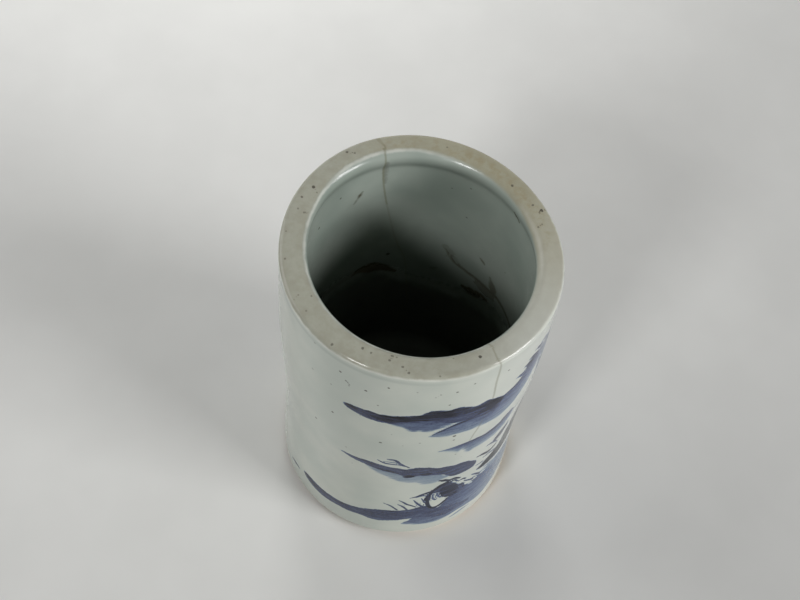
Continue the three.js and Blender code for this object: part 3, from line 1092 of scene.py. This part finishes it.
def paintRiver():
    landscape["wash"] += back["hills"]
    for a, up in back["birds"]:
        wings = [(a - 1.8, up + 1.1, 0.15), (a, up, 0.35), (a + 1.8, up + 1.4, 0.15)]
        landscapeLines.append((0.9, wings))
    hull = [(154, 58.4, 0.3), (159, 56.8, 1.1), (166, 56.6, 1.2), (172, 58.2, 0.4)]
    paint("stroke", "brush", 1.02, 0.9, hull)
    paint("stroke", "brush", 0.9, 0.8, [(158, 58, 0.9), (158.2, 60.6, 1.0), (158.4, 62.6, 0.7)])
    landscapeLines.extend([
        (0.98, [(162, 57.6, 0.4), (163.4, 61, 0.5), (166.6, 61.6, 0.5), (169.4, 58, 0.4)]),
        (0.9, [(155.4, 69, 0.2), (157.6, 61, 0.25), (159.6, 53.4, 0.2)]),
    ])
    draw = brushRandom.uniform
    for _ in range(back["dashes"]):
        a, up = draw(122, 206), brushRandom.choice(back["ripples"])
        landscapeLines.append((0.6, dab(a, up + draw(-2, 2), draw(4, 10), 0, 0.35)))


def paintBank():
    paint("stroke", "band", 0.9, 0.76, back["bank"])
    shallows = [(a, low - 5 + abs(a - 234) / 9, low + 3) for a, low, _ in back["bank"]]
    paint("wash", "fade", 0.46, 0.3, shallows)
    paint("stroke", "band", 0.84, 0.74, back["farShore"])
    paint("wash", "fade", 0.4, 0.3, [(216, 66, 69.6), (230, 63, 70), (246, 63.4, 70), (258, 67, 70)])
    paint("dark", "band", 1.0, 0.94, back["roof"])
    for a in (222.6, 232.6):
        landscapeLines.append((0.95, [(a, 40.8, 0.35), (a, 32.6, 0.35)]))
    for a in (225.6, 229.4):
        window = ((-1, 35), (-1, 38.6), (1, 38.6), (1, 35))
        landscapeLines.append((0.85, [(a + out, up, 0.25) for out, up in window]))
    paint("dark", "brush", 1.0, 0.9, back["tree"])
    draw = brushRandom.uniform
    for a, up in back["crowns"]:
        for _ in range(13):
            spot = (a + brushRandom.normal(0, 2.6), up + brushRandom.normal(0, 2.4))
            paint("stroke", "brush", 0.92, 0.78, dab(*spot, 2.2, draw(-40, 40), 0.75))
    paint("dark", "brush", 0.96, 0.9, back["willow"])
    for k in range(-6, 7):
        out = k + draw(-0.4, 0.4)
        top = 63 - 0.16 * k * k
        strand = [(0.3, 58.5, 0.2), (1.1, top, 0.26), (1.7, top - 6, 0.22), (1.8, top - draw(11, 22), 0.08)]
        landscapeLines.append((0.7, [(210.6 + out * run, up, half) for run, up, half in strand]))
    for _ in range(16):
        a, lean, top = draw(249, 269), draw(-1.6, 2.6), draw(34, 39)
        landscapeLines.append((0.85, [(a, 28.8, 0.35), (a + lean * 0.3, 33, 0.32), (a + lean, top, 0.1)]))


paintBluff()
paintRiver()
paintBank()

# Where the long hairline shows on the outside, as (surface, ink, points). Specks are (degrees round, height
# or radius, size).
outerCracks = [
    ("wall", 0.42, [
        (37.2, 138, 0.26), (37.8, 136.8, 0.28), (38.1, 132.9, 0.36), (37.9, 124.7, 0.4),
        (38.2, 114.5, 0.34), (36.8, 105.7, 0.3), (35.2, 94.7, 0.36), (33.4, 88, 0.3), (31.6, 78, 0.15),
    ]),
    ("rim", 0.36, [(38.4, 39.2, 0.22), (37.8, 41.4, 0.26), (37.2, 43.4, 0.3)]),
    ("rim", 0.26, [(-155.2, 44.6, 0.5), (-156.2, 43, 0.6), (-157, 41.4, 0.4)]),
    ("rim", 0.42, [(-157, 41.6, 0.28), (-157.6, 40.4, 0.3), (-156.9, 38.6, 0.34)]),
    ("wall", 0.3, [
        (-156.4, 138, 0.3), (-157.4, 126, 0.3), (-155.6, 112, 0.3), (-158, 96, 0.25), (-157, 84, 0.15),
    ]),
]
rimSpecks = [
    (-117.3, 40.8, 0.58), (-110.1, 42.1, 0.42), (-140.9, 43, 0.42), (-143.6, 41.5, 0.36),
    (137.2, 40.2, 0.45), (123.4, 41.2, 0.4), (119.3, 42.8, 0.6), (118.6, 41.7, 0.34), (119.2, 43.9, 0.34),
    (173.7, 41.2, 0.32), (31.4, 40.5, 0.52), (111.5, 39, 0.36), (112.5, 40.6, 0.32), (-32.3, 43.7, 0.42),
    (-16.6, 39.8, 0.36), (-8, 40.3, 0.4), (-5.3, 38.7, 0.32), (-2.1, 41.6, 0.38), (0.7, 43.3, 0.4),
    (-115.7, 38.7, 0.32), (-102.9, 39.2, 0.36), (-103.7, 37.9, 0.32), (-77.7, 42.9, 0.36),
    (-103.8, 41.5, 0.32), (-7.5, 38.6, 0.4), (-20.9, 39.6, 0.42), (-56.4, 38.6, 0.34), (-59.1, 41.8, 0.28),
    (-57.9, 43.6, 0.25), (-50.8, 42.1, 0.3), (-91.3, 43, 0.28), (13, 44.2, 0.34), (20.1, 38.4, 0.3),
]
wallSpecks = [
    (20.9, 127.3, 0.42), (18.8, 119.1, 0.4), (24.1, 93.2, 0.62), (24.3, 89.7, 0.42), (27.5, 74.4, 0.36),
    (-29.2, 96.1, 0.5), (-38.9, 79.4, 0.5), (-6.8, 88.2, 0.5), (-15.1, 123.1, 0.5), (-6.2, 129.2, 0.45),
    (-9.6, 116, 0.36), (-26.5, 127.6, 0.5), (14.4, 127, 0.34), (9.6, 91.2, 0.34), (2.7, 88.5, 0.3),
    (-22.3, 72.5, 0.36), (5, 128.9, 0.3), (-23.7, 123.8, 0.42), (-22.2, 122.6, 0.34), (-22.3, 121.4, 0.28),
    (-39.8, 133.2, 0.36), (-40.6, 115.3, 0.36), (-30.5, 115.6, 0.34), (27.6, 130.3, 0.4),
    (43.1, 128.8, 0.42), (12.6, 125.4, 0.3), (-16.4, 104.6, 0.26), (-2.6, 96.8, 0.26),
]


# The outer coat, with the painting under it
outerCoat = {
    "stepsRound": 400,
    "wallRows": 190,
    "roundRows": 9,
    "flatRows": 6,
    "bedRows": 14,
    "tintEnds": (4.3, 5.4),  # ways from the middle of the rim
    "arrisWay": 5.1,
    "poolAndShadeWay": 7.5,
}


def outerFinish():
    material, tree, shader, place = newFinish("paintedGlaze")
    look = {**glazeLook, **outerCoat}
    color = glazeGround(tree, place, look["pale"], look["deep"])
    # Painted light: the wall is made whiter on the window side
    color = mixColor(tree, windowSideLightShare(tree, place), color, look["paintedWindowLight"])
    ink = paintedInk(tree, place)
    color = cobaltColor(tree, ink, color)
    # A thin darker line under the rim's edge, most on the left: partly glaze pooled there, partly painted
    # shade
    below = calc(tree, "ABSOLUTE", calc(tree, "SUBTRACT", drawn(tree, "fromRim"), outerCoat["poolAndShadeWay"]))
    poolAndShade = times(tree, remap(tree, below, 0.2, 1.5, 0.4, 0.0), towardShare(tree, place, -60, -10, 40))
    color = mixColor(tree, poolAndShade, color, look["poolAndShade"])
    # On the right the tint ends sooner, and the pale arris line with its painted highlight moves in with it
    moved = towardShare(tree, place, 90, 14, 40, 0.9)
    color, rimShare = rimTint(tree, place, color, look, look["arrisHighlightShare"], moved)
    color = ochreStain(tree, place, color, look, rimShare)
    color = addMarks(tree, place, color, look, ink)
    finishGlaze(tree, shader, place, color, look, heavy=ink)
    return material


def makeOuterCoat():
    size = outerCoat
    skin = outerRows(0, size["wallRows"], size["roundRows"], size["flatRows"])
    bed = outerRows(potForm["coat"], size["bedRows"], size["roundRows"], size["flatRows"])
    piece = turnPiece("outerGlaze", [*skin, *reversed(bed), skin[0]], size["stepsRound"], outerFinish())
    sheet = Sheet(piece)
    for name, shapes in landscape.items():
        fillShapes(sheet, name, shapes)
    drawLines(sheet, "line", on("wall", landscapeLines))
    drawLines(sheet, "crack", outerCracks)
    placeSpecks(sheet, on("rim", rimSpecks) + on("wall", wallSpecks))
    return piece


outerPiece = makeOuterCoat()
print("outer coat painted")

# The coat of the well
wellCoat = {
    "stepsRound": 400,
    "flatRows": 6,
    "roundRows": 12,
    "wallRows": 140,
    "cornerRows": 14,
    "floorRows": 26,
    "bedWallRows": 10,
    "bedFloorRows": 6,
    "tintEnds": (2.6, 4.4),
    "arrisWay": 3.9,
    "pale": (170, 179, 170),
    "deep": (154, 165, 156),
    "tide": (72, 60, 34),
    "grimeAndShade": (48, 46, 36),
    "roughness": 0.2,
}
wellCracks = [
    *[crack for crack in outerCracks if crack[0] == "rim"],
    ("well", 0.42, [
        (-156.7, 138, 0.34), (-156.3, 135, 0.34), (-156, 130, 0.36), (-156.7, 122, 0.36), (-158, 115, 0.34),
        (-159.4, 109, 0.34),
    ]),
    ("well", 0.2, [
        (-159.4, 109, 0.34), (-164.1, 92.1, 0.3), (-167.8, 81.8, 0.3), (-173, 69.9, 0.3), (-177, 40, 0.2),
    ]),
    ("well", 0.4, [(38.4, 138, 0.24), (38, 120, 0.2), (36, 100, 0.2), (37, 80, 0.16)]),
]
# How high the old water stood in the well, as (degrees, height). The lines that it left are (ink, points).
stainLevel = [
    (-90, 73), (-117, 71), (-140, 69), (-156, 69), (-162, 66), (-170, 62), (180, 60), (165, 60),
    (155, 60.5), (148, 63.5), (142, 65), (136, 67), (125, 69), (110, 71), (60, 72), (0, 72), (-50, 73),
]
tideLines = [
    (0.3, [(-60, 73, 0.8), (-90, 72.4, 1), (-117, 70.3, 1.2), (-128.5, 68.6, 1.4), (-139.6, 68.3, 1.4)]),
    (0.86, [
        (-142, 68.6, 0.8), (-146.2, 69.4, 1.8), (-150, 69.2, 3), (-154, 68.6, 3.4), (-157, 68, 2.6),
        (-161.5, 66.4, 1.9), (-166.4, 64, 1),
    ]),
    (0.62, [
        (164.6, 84.4, 0.4), (161.6, 81.6, 0.8), (158, 78.6, 0.9), (151, 76.9, 0.8), (143.6, 76.5, 0.9),
        (138, 76.4, 1.2), (132.6, 76.8, 1.1), (126.7, 78, 0.9), (117.5, 78, 0.8), (109.7, 77.7, 0.8),
        (90, 77, 0.9), (60, 76, 0.9), (20, 74, 0.8), (-20, 74.5, 0.8), (-60, 74, 0.7),
    ]),
    (0.2, [(165, 85.6, 1.4), (163, 83, 2.6), (160.4, 80.6, 2.2), (157, 78.6, 1.2)]),
    (0.55, [(133.6, 84.4, 0.5), (131.4, 82, 1.7), (129.8, 79.6, 2.2), (129.4, 77, 1.2)]),
    (0.4, [(141, 74.6, 2), (136, 74.2, 3.4), (131, 75.4, 2.4)]),
    (0.8, [(150, 65.6, 0.9), (146.4, 65.6, 2.1), (142, 66.6, 2.2), (138.6, 68.6, 1.4), (132.4, 69.6, 0.7)]),
    (0.42, [(171.6, 68.6, 0.3), (170.2, 69.2, 0.55), (168.6, 69.8, 0.3)]),
    (0.34, [(-157.2, 134.4, 0.5), (-157, 131, 0.8), (-157.1, 127, 0.8), (-157.5, 122.6, 0.4)]),
    (0.9, [(-145, 120.6, 0.2), (-143.8, 119.3, 0.6), (-142.8, 118.1, 0.35)]),
    (0.5, [(-143, 118.3, 0.4), (-141.8, 117, 0.35), (-140.5, 115.9, 0.15)]),
    (0.95, [(127, 132.6, 0.5), (125.4, 131.6, 0.7), (124, 130.6, 0.35)]),
    (0.7, [(142.8, 90.6, 0.3), (141.6, 90.2, 0.6), (140.6, 89.6, 0.4)]),
]
wellSpecks = [
    (-131.6, 124.1, 0.42), (-114.4, 119.5, 0.5), (-162.6, 76.1, 0.75), (157.2, 126.4, 0.32),
    (167.3, 122.3, 0.28), (156.5, 109.3, 0.36),
]


def wellFinish():
    material, tree, shader, place = newFinish("wellGlaze")
    look = {**glazeLook, **wellCoat}
    color = glazeGround(tree, place, look["pale"], look["deep"])
    # Painted shade and grime: the glaze darkens gradually from well above the old water line, and much more
    # below it, toward the floor of the deep well
    cloud = grain(tree, place, 10, 4, shift=21.0)
    level = roughened(tree, drawn(tree, "stain"), cloud, 9)
    film = remap(tree, level, -4, 44, 0.5, 0.0, smooth=False)
    sludgeAndShade = remap(tree, level, -10, 5, 0.78, 0.0)
    color = mixColor(tree, calc(tree, "MAXIMUM", film, sludgeAndShade), color, look["grimeAndShade"])
    ragged = grain(tree, place, 1.6, 4, shift=23.0)
    tide = times(tree, lineShare(tree, "tide", ragged, 0.9, 1.5), drawn(tree, "tideInk"))
    color = mixColor(tree, tide, color, look["tide"])
    # The tint stops short of the lip at the far side, where the bared pale lip is a painted highlight, and
    # runs over it at the right as painted shade, where the painted arris highlight fades out too
    right = towardShare(tree, place, 115, 8, 34)
    moved = calc(tree, "MULTIPLY_ADD", right, -1.6, towardShare(tree, place, 178, 8, 36, 1.7))
    strength = calc(tree, "MULTIPLY_ADD", right, -0.7, look["arrisHighlightShare"])
    color, rimShare = rimTint(tree, place, color, look, strength, moved)
    color = ochreStain(tree, place, color, look, rimShare)
    color = addMarks(tree, place, color, look)
    finishGlaze(tree, shader, place, color, look, sludgeAndShade)
    return material


def makeWellCoat():
    size = wellCoat
    counts = [size[part + "Rows"] for part in ("flat", "round", "wall", "corner", "floor")]
    bedCounts = [*counts[:2], size["bedWallRows"], counts[3], size["bedFloorRows"]]
    skin, bed = innerRows(0, *counts), innerRows(potForm["coat"], *bedCounts)
    piece = turnPiece("innerGlaze", [*skin, *reversed(bed), skin[0]], size["stepsRound"], wellFinish())
    sheet = Sheet(piece)
    turns, levels = np.array(sorted((a % 360, h) for a, h in stainLevel)).T
    sheet.keep("stain", sheet.places[:, 2] - np.interp(sheet.degrees % 360, turns, levels, period=360))
    drawLines(sheet, "crack", wellCracks)
    drawLines(sheet, "tide", on("well", tideLines), reach=4.0)
    placeSpecks(sheet, on("rim", rimSpecks) + on("well", wellSpecks))
    return piece


wellPiece = makeWellCoat()
print("well coat marked")

# The porcelain itself, which shows only at the foot
claybody = {
    "stepsRound": 240,
    "clay": (222, 208, 176),
    "burnt": (206, 176, 130),
    "grimyAndShaded": (146, 135, 104),
    "grimyBurntAndShaded": (132, 112, 78),
    "grit": (92, 72, 56),
    "roughness": 0.78,
}


def clayFinish():
    material, tree, shader, place = newFinish("bareClay")
    look = claybody
    flame = remap(tree, grain(tree, place, 12, 4, shift=31.0), 0.35, 0.62)
    # Painted shade and grime: the bare foot is darker and dirtier away from the window side
    cleanAndLit = towardShare(tree, place, 78, -4, 34)
    clay = mixColor(tree, cleanAndLit, look["grimyAndShaded"], look["clay"])
    color = mixColor(tree, flame, clay, mixColor(tree, cleanAndLit, look["grimyBurntAndShaded"], look["burnt"]))
    rings = grain(tree, place, 1.1, 3, shift=33.0)
    color = mixColor(tree, remap(tree, rings, 0.45, 0.8, 0, 0.4), color, clay)
    grit = dots(tree, place, 2.2, 0.25, 0.4, shift=35.0)
    color = mixColor(tree, times(tree, grit, 0.7), color, look["grit"])
    tree.links.new(color, shader.inputs["Base Color"])
    shader.inputs["Roughness"].default_value = look["roughness"]
    addBumps(tree, shader, [
        (grain(tree, place, 0.5, 4, shift=37.0), 0.06, 0.6),
        (grit, 0.1, 0.5),
    ])
    return material


def makeClayBody():
    form = potForm
    standing = form["foot"] - form["footBevelWidth"]
    recess = standing - form["footRing"]
    edge, under = form["footEdge"], form["recessRound"]
    bevelTop = (outsideRadius(form["footBevelHeight"]) - form["coat"], form["footBevelHeight"])
    foot = [
        *[(r, form["recess"]) for r in np.linspace(0, recess - under, 8)],
        *arc(recess - under, form["recess"] - under, under, 90, 0, 6)[1:],
        *arc(recess + edge, edge, edge, 180, 270, 5),
        *[(r, 0.0) for r in np.linspace(recess + edge, standing - edge, 10)[1:]],
        *arc(standing - edge, edge, edge, -90, -36, 4)[1:],
        bevelTop,
        (outsideRadius(form["glazeLine"]) - form["coat"], form["glazeLine"] - 0.3),
    ]
    outer = outerRows(form["coat"], 14, 5, 3)
    inner = innerRows(form["coat"], 3, 6, 12, 8, 6)
    return turnPiece("porcelainBody", [*foot, *outer, *inner[1:]], claybody["stepsRound"], clayFinish())


clayPiece = makeClayBody()

# The glazed recess underneath
baseCoat = {
    "stepsRound": 240,
    "margin": 0.8,
    "pale": (208, 213, 206),
    "deep": (190, 198, 192),
    "pit": (128, 104, 76),
}


def baseFinish():
    material, tree, shader, place = newFinish("baseGlaze")
    look = {**glazeLook, **baseCoat}
    color = glazeGround(tree, place, look["pale"], look["deep"])
    pits = dots(tree, place, 4.0, 0.3, 0.5, shift=41.0)
    color = mixColor(tree, times(tree, pits, 0.7), color, look["pit"])
    finishGlaze(tree, shader, place, color, look)
    return material


def makeBaseCoat():
    form = potForm
    standing = form["foot"] - form["footBevelWidth"]
    edge = standing - form["footRing"] - form["recessRound"] - baseCoat["margin"]
    low = form["recess"] - form["coat"]
    rows = [
        *[(r, low) for r in np.linspace(0, edge, 30)],
        *arc(edge, form["recess"], form["coat"], -90, 0, 5)[1:],
        *[(r, form["recess"]) for r in np.linspace(edge, 0, 6)],
    ]
    return turnPiece("baseGlaze", rows, baseCoat["stepsRound"], baseFinish())


basePiece = makeBaseCoat()
print("foot and base made")

for piece, node, slot in (
    (outerPiece, "outer_glaze", "outer_glaze"),
    (wellPiece, "inner_glaze", "inner_glaze"),
    (clayPiece, "porcelain_body", "biscuit"),
    (basePiece, "base_glaze", "base_glaze"),
):
    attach(piece, "root")
    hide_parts(node)

# Paper to stand on and a quiet studio
studio = {
    "paper": (222, 222, 219),
    "wall": (212, 212, 209),
    "fade": (0.55, 1.25),  # m, where the paper runs into the wall behind it
    "world": 0.01,
    "aim": (0, 0, 0.07),
    "lamps": [
        # Name, degrees round, degrees up, metres away, metres wide, watts, seen in the glaze
        ("lamp", -31, 40, 1.42, 0.26, 5.7, True),
        ("window", 70, 27, 3.25, 1.3, 67.0, True),
        ("skylight", -108, 35, 0.66, 0.43, 1.2, True),
        ("doorway", -165, 14, 0.53, 0.2, 1.2, False),
    ],
}


def plainlySeen(tree):
    # Where the wall behind the paper shows: to the camera and in the glaze, and not as light
    path = addNode(tree, "ShaderNodeLightPath").outputs
    mirrored = calc(tree, "MAXIMUM", path["Is Glossy Ray"], path["Is Transmission Ray"])
    return calc(tree, "MAXIMUM", path["Is Camera Ray"], mirrored)


def addPaper():
    bpy.ops.mesh.primitive_plane_add(size=6, location=(0, 0, 0))
    paper = bpy.context.object
    paper.name = "paper"
    material, tree, shader, place = newFinish("paperSheet")
    fibres = remap(tree, grain(tree, place, 60, 3), 0.3, 0.7)
    low = [c - 5 for c in studio["paper"]]
    tree.links.new(mixColor(tree, fibres, low, studio["paper"]), shader.inputs["Base Color"])
    shader.inputs["Roughness"].default_value = 0.9
    shader.inputs["Specular IOR Level"].default_value = 0.2
    far = times(tree, remap(tree, lengthOf(tree, place), *studio["fade"]), plainlySeen(tree))
    wall = addNode(tree, "ShaderNodeEmission", {"Color": [*linear(studio["wall"]), 1], "Strength": 1.0})
    mixed = addNode(tree, "ShaderNodeMixShader", {0: far, 1: shader.outputs[0], 2: wall.outputs[0]})
    tree.links.new(mixed.outputs[0], tree.nodes["Material Output"].inputs["Surface"])
    paper.data.materials.append(material)


def addLamp(name, turn, up, away, size, watts, mirrored):
    data = bpy.data.lights.new(name, "AREA")
    data.size = size
    data.energy = watts
    lamp = bpy.data.objects.new(name, data)
    a, e = math.radians(turn), math.radians(up)
    offset = Vector((math.sin(a) * math.cos(e), -math.cos(a) * math.cos(e), math.sin(e)))
    lamp.location = Vector(studio["aim"]) + offset * away
    lamp.rotation_euler = (-offset).to_track_quat("-Z", "Y").to_euler()
    lamp.visible_glossy = mirrored
    bpy.context.scene.collection.objects.link(lamp)


addPaper()
for lampRow in studio["lamps"]:
    addLamp(*lampRow)


def addWorld():
    # The room gives almost no light, and shows as a plain pale wall
    world = bpy.data.worlds.new("studio")
    world.use_nodes = True
    tree = world.node_tree
    dim = tree.nodes["Background"]
    dim.inputs["Color"].default_value = (1, 1, 1, 1)
    dim.inputs["Strength"].default_value = studio["world"]
    wall = addNode(tree, "ShaderNodeBackground", {"Color": [*linear(studio["wall"]), 1], "Strength": 1.0})
    sockets = {0: plainlySeen(tree), 1: dim.outputs[0], 2: wall.outputs[0]}
    mixed = addNode(tree, "ShaderNodeMixShader", sockets)
    tree.links.new(mixed.outputs[0], tree.nodes["World Output"].inputs["Surface"])
    bpy.context.scene.world = world


addWorld()
bpy.context.scene.view_settings.view_transform = "Standard"
print("studio lit")
